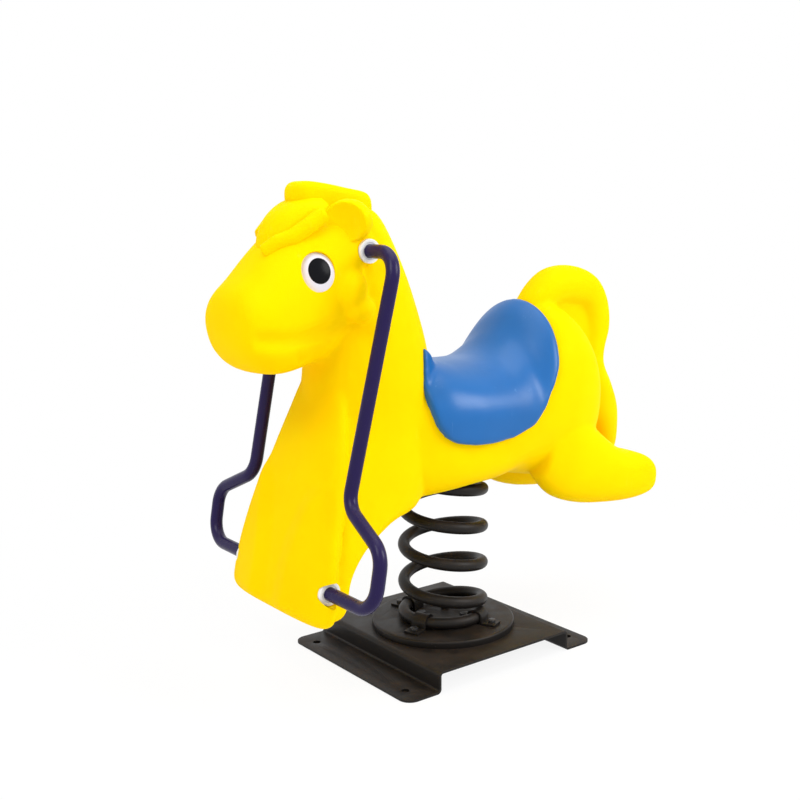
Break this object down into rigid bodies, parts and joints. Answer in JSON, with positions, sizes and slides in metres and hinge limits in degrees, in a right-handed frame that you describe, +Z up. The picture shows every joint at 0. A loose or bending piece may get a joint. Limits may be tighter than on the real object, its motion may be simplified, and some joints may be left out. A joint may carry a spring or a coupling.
{
  "type": "spring rider",
  "caption": "Pony-shaped spring rider: a hollow moulded pony with a saddle and bent side bars, rocking on a coil spring over a folded base that bolts to the ground.",
  "frame": {"origin": "on the ground at the centre of the anchor holes, on the spring's axis", "axes": "+X to the pony's head, +Y to its left side, +Z up along the spring's axis"},
  "size_m": [0.858, 0.519, 0.8312],
  "materials": {
    "base_steel": "satin black powder coat",
    "disc_steel": "satin black powder coat",
    "clip_steel": "satin black powder coat",
    "spring_steel": "satin black powder coat",
    "bolt_steel": "dark oiled steel",
    "zinc_steel": "zinc plated",
    "insert_brass": "turned",
    "yellow_plastic": "satin moulded polyethylene",
    "blue_plastic": "glossy moulded polyethylene",
    "bar_paint": "gloss dark violet powder coat",
    "white_plastic": "gloss",
    "eye_white": "gloss",
    "eye_black": "gloss"
  },
  "bodies": {
    "base": {"base_plate": "base_steel", "lower_spring_disc": "disc_steel", "base_bolts": "bolt_steel", "base_nuts": "bolt_steel", "lower_spring_clips": "clip_steel", "lower_clip_bolts": "bolt_steel"},
    "spring": {"coil_spring": "spring_steel"},
    "rider": {"upper_spring_plate": "disc_steel", "upper_spring_clips": "clip_steel", "upper_clip_bolts": "bolt_steel", "backing_plate": "zinc_steel", "rider_bolts": "bolt_steel", "rider_nuts": "bolt_steel", "body_shell": "yellow_plastic", "saddle": "blue_plastic", "saddle_bolts": "zinc_steel", "saddle_inserts": "insert_brass", "left_bar": "bar_paint", "right_bar": "bar_paint", "upper_cross_rod": "zinc_steel", "lower_cross_rod": "zinc_steel", "bar_pins": "zinc_steel", "left_upper_collar": "white_plastic", "right_upper_collar": "white_plastic", "left_lower_collar": "white_plastic", "right_lower_collar": "white_plastic", "left_eye_white": "eye_white", "right_eye_white": "eye_white", "left_pupil": "eye_black", "right_pupil": "eye_black"}
  },
  "joints": [
    {"name": "rock", "type": "hinge", "parent": "base", "child": "spring", "pos_m": [0, 0, 0.152], "axis": [0, 1, 0], "range_deg": [-15, 15], "stiffness_Nm_per_rad": 390, "deforming": ["coil_spring"]},
    {"name": "sway", "type": "hinge", "parent": "spring", "child": "rider", "pos_m": [0, 0, 0.226], "axis": [1, 0, 0], "range_deg": [-10, 10], "stiffness_Nm_per_rad": 390, "deforming": ["coil_spring"]}
  ]
}
